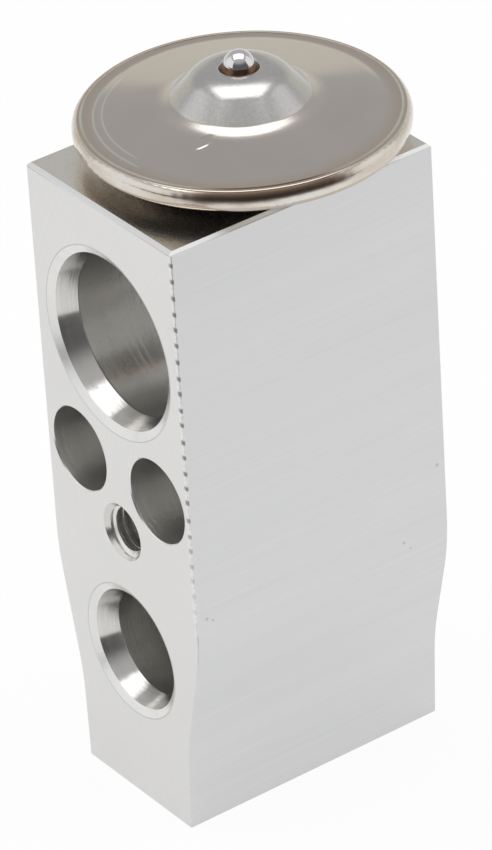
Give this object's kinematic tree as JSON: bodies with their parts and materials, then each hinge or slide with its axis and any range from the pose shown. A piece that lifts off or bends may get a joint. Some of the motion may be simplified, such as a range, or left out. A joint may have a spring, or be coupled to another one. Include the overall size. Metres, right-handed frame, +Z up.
{
  "type": "block expansion valve",
  "caption": "Aluminium block with crossing ports and bolt holes, a round domed diaphragm head on top, and a spring-loaded ball valve inside that throttles a cooling circuit.",
  "frame": {"origin": "on the valve's vertical axis, at the block's bottom face", "axes": "+Z up along the valve's axis to the power head, -Y out of the port face with the liquid inlet and the tapped hole, +X to the right seen from that face"},
  "size_m": [0.0362, 0.0373, 0.0865],
  "materials": {
    "block_aluminium": "extruded, with milled port faces and turned seats",
    "rod_aluminium": "turned",
    "head_steel": "stamped stainless sheet, tinted by the weld at the rim",
    "ball_steel": "ground and polished",
    "spring_steel": "drawn wire and sheet",
    "plate_brass": "turned",
    "rubber": "moulded"
  },
  "bodies": {
    "valve_body": {"valve_block": "block_aluminium", "head_base": "head_steel", "head_gasket": "rubber", "diaphragm": "head_steel", "head_lid": "head_steel", "charge_ball": "ball_steel", "rod_seal": "rubber", "seal_retainer": "spring_steel", "valve_spring": "spring_steel"},
    "stem": {"diaphragm_plate": "plate_brass", "sensing_rod": "rod_aluminium", "push_rod": "ball_steel", "valve_ball": "ball_steel", "ball_carrier": "plate_brass", "damping_spring": "spring_steel"},
    "adjuster_carriage": {"adjuster_seal": "rubber"},
    "adjuster": {"adjusting_screw": "rod_aluminium"}
  },
  "joints": [
    {"name": "stem_slide", "type": "slide", "parent": "valve_body", "child": "stem", "axis": [0, 0, -1], "range_m": [0, 0.0007], "stiffness_N_per_m": 4200, "deforming": ["valve_spring"]},
    {"name": "adjuster_advance", "type": "slide", "parent": "valve_body", "child": "adjuster_carriage", "axis": [0, 0, 1], "range_m": [-0.001, 0.0015], "deforming": ["valve_spring"]},
    {"name": "adjuster_turn", "type": "hinge", "parent": "adjuster_carriage", "child": "adjuster", "pos_m": [0, 0, 0], "axis": [0, 0, 1], "range_deg": [-360, 540]}
  ],
  "couplings": [
    {"joint": "adjuster_turn", "follows": "adjuster_advance", "rad_per_m": 6283.2}
  ]
}
